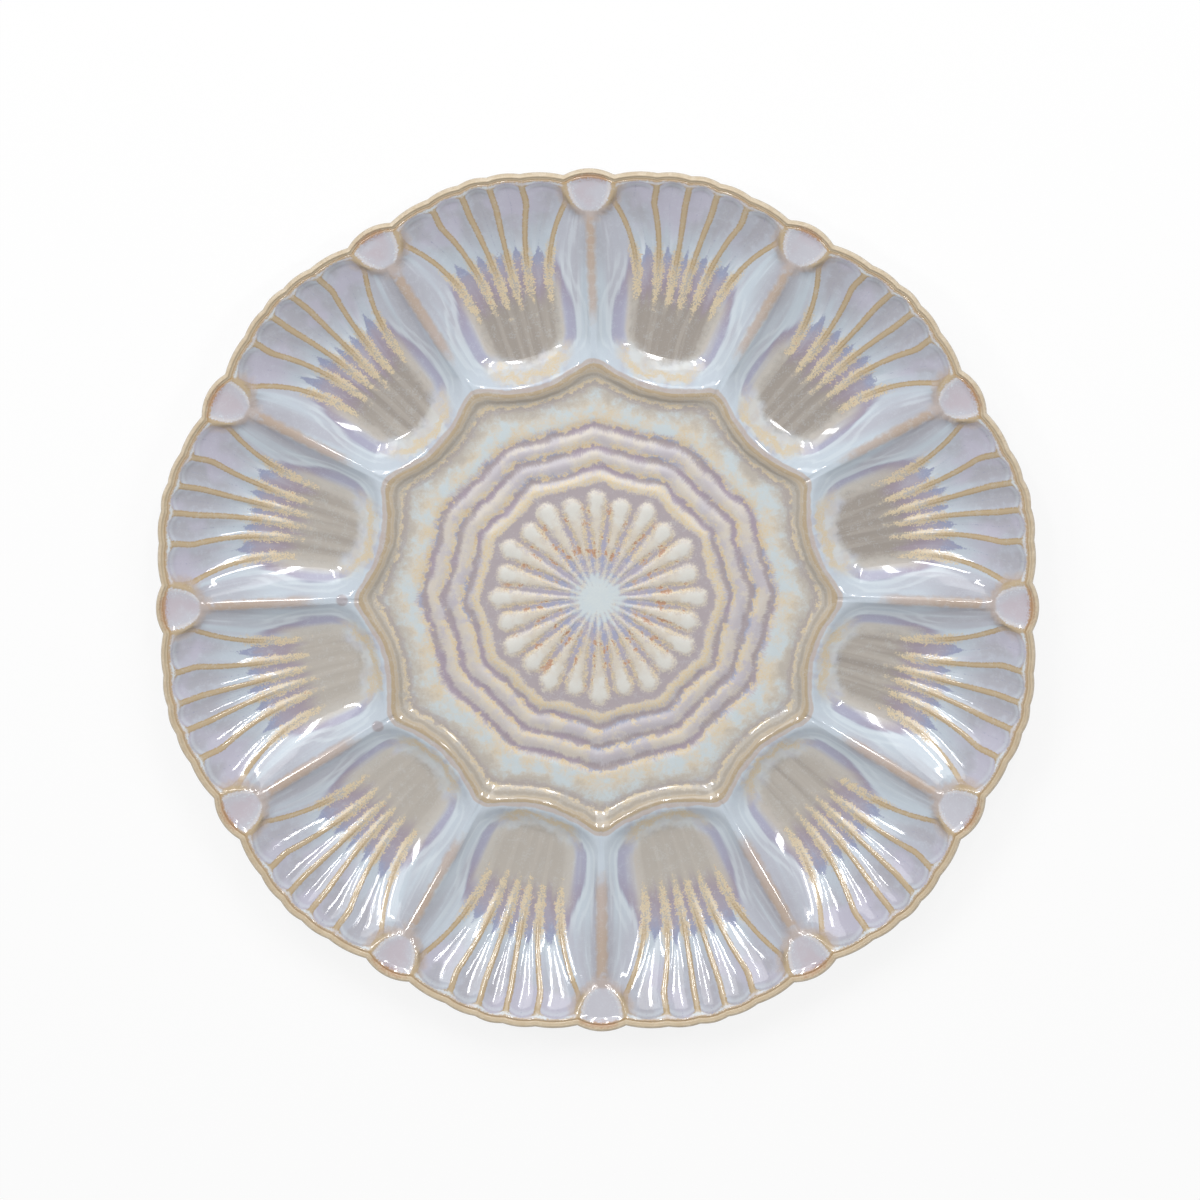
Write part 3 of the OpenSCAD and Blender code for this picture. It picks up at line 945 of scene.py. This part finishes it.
def floor_colour(s, g, colour):
    """Taupe floor with painted shade towards +Y and +X, paler in line with the ribs, beige beside it, and
    violet tongues that end in blue.
    """
    level = s.shift(g.level, g.broad, 0.5)
    along = s.band(s.shift(g.radius, g.broad, 14), *BEIGE_R)
    beige = s.times(s.band(level, 0.6, 0.82, 1.1, 1.3), along)
    colour = s.blend(s.times(beige, 0.75), colour, BEIGE)
    soft = s.shift(level, g.grain, 0.4)
    floor = s.times(s.step(soft, 0.76, 1.14), s.edge(g.radius, g.flow, 20, *FLOOR_R))
    streaks = s.edge(g.rib, g.flow, 6, 1.4, 0.2)
    # Painted shade: the floors turn darker towards +Y and +X, by their direction from the axis
    painted_shade = s.add(s.times(g.east, FLOOR_PAINTED_SHADE[0]), s.times(g.north, FLOOR_PAINTED_SHADE[1]))
    broad_less_shade = s.math("SUBTRACT", g.broad, painted_shade)
    taupe = s.blend(s.step(broad_less_shade, 0.32, 0.68), TAUPE, PALE_TAUPE)
    colour = s.blend(floor, colour, s.blend(s.times(streaks, 0.26), taupe, LIGHT_TAUPE))

    tongue_end = s.shift(s.shift(g.radius, g.flow, 12), g.broad, 8)
    half_w = s.times(s.step(tongue_end, *TONGUE_TAPER_R), TONGUE_W / 2)
    tongue = s.shift(s.math("SUBTRACT", half_w, g.axis), g.fine, 2.5)
    tongue = s.times(s.step(tongue, -0.1, 0.7), s.edge(g.rib, g.fine, 2, 0.9, 1.7))
    tongue = s.times(tongue, s.edge(g.radius, g.flow, 14, *TONGUE_R), s.step(g.fan, 1.0, 0.96))
    colour = s.blend(s.times(tongue, 0.75), colour, VIOLET)
    tip = s.edge(tongue_end, g.grain, 8, *TONGUE_TIP_R)
    return s.blend(s.times(tongue, tip, 0.6), colour, BLUE)


def rib_colour(s, g, colour):
    """Ribs: tan, flared at the lip, with two streaks of gold crumbs, which are kept for the roughness."""
    apart = s.times(s.step(g.radius, *GOLD_APART_R), GOLD_APART)
    half_w = s.times(s.step(g.radius, *GOLD_WIDE_R), GOLD_W / 2)
    gold = s.math("SUBTRACT", half_w, s.math("ABSOLUTE", s.math("SUBTRACT", g.rib, apart)))
    gold = s.edge(s.shift(gold, g.fine, 4.5), g.grain, 3, -0.35, 0.35)
    gold_range = s.band(s.shift(g.radius, g.grain, 16), *GOLD_R)
    g.gold = s.times(gold, gold_range, s.step(g.fan, 1.2, 1.1))
    near_rib = s.times(s.step(g.rib, 1.5, 0.6), s.band(s.shift(g.radius, g.grain, 14), *RIB_TAUPE_R))
    colour = s.blend(s.times(near_rib, 0.8), colour, PALE_TAUPE)
    colour = s.blend(s.times(g.gold, 0.86), colour, s.blend(g.crumbs, BEIGE, GOLD))
    specks = s.times(g.gold, s.step(g.fine, 0.62, 0.68), s.step(g.grain, 0.52, 0.58))
    colour = s.blend(s.times(specks, 0.85), colour, RUST)

    in_fan = s.step(g.fan, 1.04, 1.0)
    half_w = s.times(s.step(g.radius, *RIB_WIDE_R), 0.4)
    to_edge = s.math("SUBTRACT", g.rib, half_w)
    rib = s.edge(to_edge, g.fine, 0.8, 1.0, 0.5)
    rib = s.times(rib, s.edge(g.radius, g.grain, 14, *RIB_R))
    flare = s.times(s.edge(g.form, g.fine, 0.8, 0.4, -0.3), in_fan, s.step(g.radius, *FLARE_R))
    flare = s.times(flare, s.edge(g.land, g.fine, 1, 1.1, 1.9))
    tan = s.blend(s.step(to_edge, 0.0, 0.7), LIGHT_TAN, TAN)
    return s.blend(s.math("MAXIMUM", rib, flare), colour, tan)


def edge_colour(s, g, colour):
    """Ridges and their tabs, the inner end, and the edge at the lip."""
    ridge = s.edge(s.shift(g.ridge, g.grain, 2), g.broad, 2, 2.6, 0.9)
    ridge = s.times(ridge, s.band(s.shift(g.radius, g.grain, 12), *RIDGE_R), 0.85)
    colour = s.blend(ridge, colour, s.blend(s.step(g.radius, *RIDGE_TAN_R), PINK_TAN, RIDGE_TAN))

    tab = s.shift(g.tab, g.fine, 1.5)
    past_ridge = s.step(g.radius, *PAST_RIDGE_R)
    fork = s.times(s.edge(g.tab, g.grain, 5, -5, -1), past_ridge)
    colour = s.blend(s.times(fork, 0.7), colour, PINK_TAN)
    border = s.times(s.band(tab, -1.2, -0.5, 0.8, 1.5), s.step(g.radius, *TAB_BORDER_R))
    colour = s.blend(s.times(border, 0.9), colour, LIGHT_TAN)
    in_tab = s.times(s.step(tab, 0.9, 1.7), s.step(g.radius, *TAB_R))
    blush = s.times(s.edge(g.tab, g.ragged, 12, 1.5, 7), s.step(g.cloud, 0.4, 0.55), 0.6)
    pad = s.blend(s.edge(g.tab, g.fine, 2, 1.6, 3), PEARL, s.blend(blush, PAD, PINK))
    dots = s.times(s.step(g.fine, 0.56, 0.66), s.step(g.tab, 5, 2), 0.7)
    colour = s.blend(in_tab, colour, s.blend(dots, pad, WHITE_BLUE))

    between = s.times(s.edge(g.form, g.fine, 1, 0.2, -0.4), s.step(g.fan, 1.0, 0.97))
    between = s.times(between, s.edge(g.land, g.fine, 2, 2.2, 1.2), s.step(g.radius, *BETWEEN_ARCHES_R))
    colour = s.blend(s.times(between, 0.85), colour, s.blend(s.step(g.patch, 0.4, 0.6), PEARL, WHITE_BLUE))

    by_end = s.times(s.step(g.ridge, 6, 14), s.step(g.crest, 14, 10))
    end = s.band(s.shift(g.level, g.grain, 0.8), 0.05, 0.25, 0.7, 1.2)
    colour = s.blend(s.times(end, by_end, 0.6), colour, s.blend(s.step(g.patch, 0.4, 0.6), WHITE, CREAM))
    crumbs = s.band(s.shift(g.level, g.ragged, 1.6), 0.2, 0.36, 0.5, 0.7)
    colour = s.blend(s.times(crumbs, by_end, 0.85), colour, s.blend(g.crumbs, CREAM, GOLD))

    edge = s.edge(g.land, g.fine, 1.5, 1.1, 0.4)
    colour = s.blend(s.times(edge, 0.85), colour, BROWN)
    rust = s.times(s.edge(g.land, g.fine, 5, 1.8, 0.5), s.edge(g.ridge, g.grain, 16, 7, 3))
    return s.blend(s.times(rust, 0.35), colour, RUST)


def centre_colour(s, g):
    """Colour of the centre well, from its wall to the middle of the rosette."""
    colour = s.blend(s.step(g.ragged, 0.38, 0.6), PALE_SEA, CREAM)
    by_rings = s.edge(g.ring, g.patch, 14, *FLOOR_CRUMBS_V)
    crumbs = s.times(s.edge(g.ragged, g.fine, 0.5, 0.5, 0.68), by_rings, 0.75)
    colour = s.blend(crumbs, colour, s.blend(g.crumbs, CREAM, GOLD))
    wall = s.blend(s.edge(g.ring, g.patch, 6, *WALL_BEIGE_V), PALE_TAUPE, BEIGE)
    colour = s.blend(s.times(s.edge(g.ring, g.ragged, 16, *WALL_V), 0.95), colour, wall)
    # Painted shade: a brown-violet band round the foot of the centre wall
    shade = s.band(s.shift(g.ring, g.grain, 5), *WALL_SHADE_V)
    colour = s.blend(s.times(shade, 0.4), colour, BROWN_VIOLET)
    fall = s.band(s.shift(s.shift(g.ring, g.grain, 4), g.fine, 2), *WALL_CRUMBS_V)
    fall = s.times(fall, s.step(g.ragged, 0.4, 0.5), 0.85)
    colour = s.blend(fall, colour, s.blend(g.crumbs, CREAM, GOLD))

    ring = s.shift(g.ring, g.patch, 4)
    turn = s.math("FRACT", s.add(s.times(s.add(ring, -GROOVE_R), 1 / GROOVE_PITCH), 0.5))
    past = s.times(s.add(turn, -0.5), GROOVE_PITCH)
    in_rings = s.edge(ring, g.feather, 4, *RING_BAND_V)
    rings = s.blend(s.step(g.cloud, 0.42, 0.58), MAUVE, PALE_MAUVE)
    rings = s.blend(s.times(s.step(g.ragged, 0.46, 0.58), 0.7), rings, CREAM)
    line = s.edge(s.math("ABSOLUTE", past), g.feather, 2.4, 2.1, 0.4)
    violet = s.blend(s.step(g.cloud, 0.42, 0.58), VIOLET, BROWN_VIOLET)
    rings = s.blend(s.times(line, 0.84), rings, violet)
    fringe = s.times(s.band(s.shift(past, g.feather, 3), 0.5, 1.0, 1.4, 2.2), s.step(g.cloud, 0.5, 0.62))
    rings = s.blend(s.times(fringe, 0.45), rings, BLUE)
    colour = s.blend(in_rings, colour, rings)
    blobs = s.band(s.shift(past, g.grain, 6), 0.7, 1.4, 2.2, 3.2)
    blobs = s.times(blobs, s.edge(g.ragged, g.fine, 0.2, 0.44, 0.51), s.step(g.ring, *RING_CRUMBS_V))
    colour = s.blend(s.times(blobs, 0.9), colour, s.blend(g.crumbs, CREAM, GOLD))
    rust = s.times(blobs, s.step(g.grain, 0.54, 0.6), s.step(g.fine, 0.46, 0.54))
    colour = s.blend(s.times(rust, 0.7), colour, DEEP_GOLD)
    gold_ring = s.band(s.shift(s.shift(ring, g.feather, 6), g.grain, 4), *GOLD_RING_V)
    colour = s.blend(gold_ring, colour, s.blend(s.step(g.fine, 0.4, 0.6), CREAM, GOLD))
    return s.blend(s.edge(ring, g.fine, 2, *ROSETTE_V), colour, rosette_colour(s, g))


def rosette_colour(s, g):
    """Rosette: mauve gaps that turn blue inwards, cream drops with gold crumbs, and a pale star."""
    colour = s.blend(s.edge(g.ring, g.grain, 14, *GAP_VIOLET_V), DARK_MAUVE, GAP_VIOLET)
    blue = s.times(s.edge(g.ring, g.patch, 30, *GAP_BLUE_V), s.step(g.patch, 0.42, 0.58), 0.55)
    colour = s.blend(blue, colour, BLUE)
    rough = s.shift(s.shift(g.form, g.fine, 2.5), g.grain, 3)
    colour = s.blend(s.step(rough, -0.9, 1.0), colour, s.blend(g.crumbs, MAUVE, CREAM))
    core = s.times(s.edge(g.form, g.grain, 3, 0.6, 2.4), 0.85)
    colour = s.blend(core, colour, s.blend(s.edge(g.ring, g.grain, 12, *DROP_WHITE_V), CREAM, WHITE))
    clumps = s.times(s.band(rough, -0.7, 0.0, 0.7, 1.6), s.step(g.ragged, 0.42, 0.5))
    gold = s.times(clumps, s.band(s.shift(g.ring, g.grain, 10), *DROP_GOLD_V))
    colour = s.blend(s.times(gold, 0.85), colour, s.blend(g.crumbs, BEIGE, GOLD))
    rust = s.times(gold, s.step(g.grain, 0.56, 0.61), s.step(g.fine, 0.3, 0.4))
    colour = s.blend(s.times(rust, 0.8), colour, RUST)
    star = s.edge(s.shift(g.ring, g.grain, 16), g.form, -3, *STAR_V)
    return s.blend(s.times(star, 0.9), colour, HUB_BLUE)


def bare_clay(name, on_lip):
    s = Shade(name)
    out, _, _ = s.marks("edges")
    _, ridge, _ = s.marks("flutes")
    at, _, _, _ = s.place()
    fine = s.noise(at, FINE_SIZE)
    grain = s.noise(at, CLAY_GRAIN_SIZE, 3)
    colour = s.blend(s.step(grain, 0.38, 0.62), CLAY, PALE_CLAY)
    colour = s.blend(s.times(s.step(fine, 0.6, 0.7), 0.4), colour, BROWN)
    if on_lip:
        top = s.edge(out, grain, 1, 2.1, 1.4)
        colour = s.blend(s.times(top, 0.9), colour, s.blend(grain, LIP_CLAY, PALE_LIP_CLAY))
        inner = s.edge(out, fine, 0.6, 0.45, 0.1)
        colour = s.blend(s.times(inner, 0.7), colour, BROWN)
        rust = s.times(s.edge(out, fine, 4, 1.5, 0.4), s.edge(ridge, grain, 14, 8, 4))
        colour = s.blend(s.times(rust, 0.4), colour, RUST)
    s.put(s.bsdf.inputs["Base Color"], colour)
    s.put(s.bsdf.inputs["Roughness"], s.add(s.times(grain, 0.2), 0.15 if on_lip else 0.6))
    s.bump(fine, 0.3, BUMP_DEPTH)
    return s.material


def under_glaze(name, to_lip):
    s = Shade(name)
    at, radius, east, north = s.place()
    fine = s.noise(at, FINE_SIZE)
    grain = s.noise(at, GRAIN_SIZE, 3)
    cloud = s.noise(at, UNDER_CLOUD_SIZE)
    round_x, round_y = s.times(east, UNDER_STREAK_R), s.times(north, UNDER_STREAK_R)
    flow = s.noise(s.join(round_x, round_y, s.times(radius, 1 / UNDER_STRETCH)), UNDER_STREAK_SIZE, 3)
    colour = s.blend(s.step(cloud, 0.38, 0.62), LAVENDER, PALE_BLUE)
    colour = s.blend(s.times(s.step(flow, 0.5, 0.66), 0.6), colour, WHITE_BLUE)
    crumbs = s.times(s.step(fine, 0.54, 0.62), s.step(grain, 0.48, 0.6), 0.8)
    colour = s.blend(crumbs, colour, GOLD)
    if to_lip:
        out, _, _ = s.marks("edges")
        colour = s.blend(s.edge(out, grain, 8, 4.0, 2.2), colour, TAN)
    by_foot = s.times(s.edge(radius, grain, 8, *FOOT_OUTER_R), s.step(radius, *FOOT_INNER_R))
    colour = s.blend(by_foot, colour, BROWN)
    s.put(s.bsdf.inputs["Base Color"], colour)
    s.put(s.bsdf.inputs["Roughness"], s.add(s.times(grain, 0.12), 0.08))
    s.bsdf.inputs["IOR"].default_value = GLAZE_IOR
    s.bump(s.add(s.times(fine, 0.15), grain), 0.2, BUMP_DEPTH)
    return s.material


# Pieces
lip_clay = bare_clay("lip_clay", on_lip=True)
foot_clay = bare_clay("foot_clay", on_lip=False)
glaze_below = under_glaze("glaze_below", to_lip=True)
foot_well_glaze = under_glaze("foot_well_glaze", to_lip=False)

upper = make_upper_glaze(pearl_glaze())
body = make_body(lip_clay)
under = make_underside_glaze(glaze_below)
for piece, node, slot in (
    (upper, "upper_glaze", "pearl_glaze"),
    (body, "stoneware_body", "stoneware"),
    (under, "underside_glaze", "under_glaze"),
):
    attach(piece, "root")
    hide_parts(node)

for node, material in (("foot_ring", foot_clay), ("foot_well_glaze", foot_well_glaze)):
    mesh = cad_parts[node].data
    mesh.materials.clear()
    mesh.materials.append(material)


# Floor and light
WORLD_LEVEL = 0.33
FLOOR_WHITE_SHARE = 0.85
FLOOR_COLOUR = (0.9, 0.9, 0.9, 1)
FLOOR_REACH = 4.0


def seen_directly(tree):
    """1 for what the camera sees, also in a reflection or through glass, and 0 for light on the object."""
    path = tree.nodes.new("ShaderNodeLightPath")
    seen = path.outputs["Is Camera Ray"]
    for ray in ("Is Glossy Ray", "Is Transmission Ray"):
        either = tree.nodes.new("ShaderNodeMath")
        either.operation = "MAXIMUM"
        tree.links.new(seen, either.inputs[0])
        tree.links.new(path.outputs[ray], either.inputs[1])
        seen = either.outputs[0]
    return seen


def make_floor():
    mesh = bpy.data.meshes.new("floor")
    corners = [(x * FLOOR_REACH, y * FLOOR_REACH, 0) for x, y in ((-1, -1), (1, -1), (1, 1), (-1, 1))]
    mesh.from_pydata(corners, [], [(0, 1, 2, 3)])
    floor = bpy.data.objects.new("floor", mesh)
    bpy.context.scene.collection.objects.link(floor)

    material = bpy.data.materials.new("floor_white")
    material.use_nodes = True
    tree = material.node_tree
    tree.nodes.clear()
    output = tree.nodes.new("ShaderNodeOutputMaterial")
    diffuse = tree.nodes.new("ShaderNodeBsdfDiffuse")
    diffuse.inputs["Color"].default_value = FLOOR_COLOUR
    white = tree.nodes.new("ShaderNodeEmission")
    white.inputs["Strength"].default_value = 1.0
    share = tree.nodes.new("ShaderNodeMixShader")
    bright = tree.nodes.new("ShaderNodeMath")
    bright.operation = "MULTIPLY"
    bright.inputs[1].default_value = FLOOR_WHITE_SHARE
    tree.links.new(seen_directly(tree), bright.inputs[0])
    tree.links.new(bright.outputs[0], share.inputs["Fac"])
    tree.links.new(diffuse.outputs[0], share.inputs[1])
    tree.links.new(white.outputs[0], share.inputs[2])
    tree.links.new(share.outputs[0], output.inputs["Surface"])
    mesh.materials.append(material)


def set_world():
    world = bpy.data.worlds.new("studio")
    bpy.context.scene.world = world
    world.use_nodes = True
    tree = world.node_tree
    tree.nodes.clear()
    output = tree.nodes.new("ShaderNodeOutputWorld")
    sky = tree.nodes.new("ShaderNodeBackground")
    sky.inputs["Color"].default_value = (1, 1, 1, 1)
    level = tree.nodes.new("ShaderNodeMapRange")
    level.inputs["To Min"].default_value = WORLD_LEVEL
    level.inputs["To Max"].default_value = 1.0
    tree.links.new(seen_directly(tree), level.inputs["Value"])
    tree.links.new(level.outputs["Result"], sky.inputs["Strength"])
    tree.links.new(sky.outputs[0], output.inputs["Surface"])


# Tall strip lamps in a row, high up on the side of +Y, and a wide soft one among them
LAMP_DISTANCE = 1.5
STRIP_AZIMUTHS = (36, 72, 108, 144)
STRIP_ELEVATION = 57
STRIP_SIZE = (0.09, 0.48)
STRIP_POWER = 3.2
SOFT_AZIMUTH = 100
SOFT_ELEVATION = 54
SOFT_SIZE = (1.2, 0.8)
SOFT_POWER = 6.0


def make_lamp(name, azimuth, elevation, size, power):
    """A lamp that faces the dish. Azimuth is counted from +X, in degrees."""
    light = bpy.data.lights.new(name, "AREA")
    light.shape = "RECTANGLE"
    light.size, light.size_y = size
    light.energy = power
    lamp = bpy.data.objects.new(name, light)
    bpy.context.scene.collection.objects.link(lamp)
    a, e = math.radians(azimuth), math.radians(elevation)
    direction = Vector((math.cos(a) * math.cos(e), math.sin(a) * math.cos(e), math.sin(e)))
    lamp.location = direction * LAMP_DISTANCE
    lamp.rotation_euler = direction.to_track_quat("Z", "Y").to_euler()


make_floor()
set_world()
for azimuth in STRIP_AZIMUTHS:
    make_lamp(f"strip_{azimuth}", azimuth, STRIP_ELEVATION, STRIP_SIZE, STRIP_POWER)
make_lamp("soft", SOFT_AZIMUTH, SOFT_ELEVATION, SOFT_SIZE, SOFT_POWER)


# Camera: it stands towards +Y, a little off the vertical, turned against the dish
CAMERA_DISTANCE = 1.8
CAMERA_REACH = 20.0
CAMERA_TILT = math.radians(13.1)
CAMERA_TURN = math.radians(14.0)
CAMERA_ROLL = math.radians(-13.5)
CAMERA_AIM = Vector((0.87, -0.22, 14.0)) * MM
SENSOR_W = 36.0
PIXELS_PER_MM = 2.766
IMAGE_W = 1200


def make_camera():
    turn = Matrix.Rotation(-CAMERA_TURN, 3, "Z")
    right = turn @ Vector((1, 0, 0))
    back = turn @ Vector((0, math.sin(CAMERA_TILT), math.cos(CAMERA_TILT)))
    up = back.cross(right)
    c, s = math.cos(CAMERA_ROLL), math.sin(CAMERA_ROLL)
    axes = Matrix((c * right - s * up, s * right + c * up, back)).transposed()

    data = bpy.data.cameras.new("camera")
    data.sensor_width = SENSOR_W
    data.lens = SENSOR_W * PIXELS_PER_MM * CAMERA_DISTANCE / MM / IMAGE_W
    data.clip_end = CAMERA_REACH
    camera = bpy.data.objects.new("camera", data)
    camera.matrix_world = Matrix.Translation(CAMERA_AIM + back * CAMERA_DISTANCE) @ axes.to_4x4()
    bpy.context.scene.collection.objects.link(camera)
    bpy.context.scene.camera = camera


make_camera()
bpy.context.scene.view_settings.view_transform = "Standard"
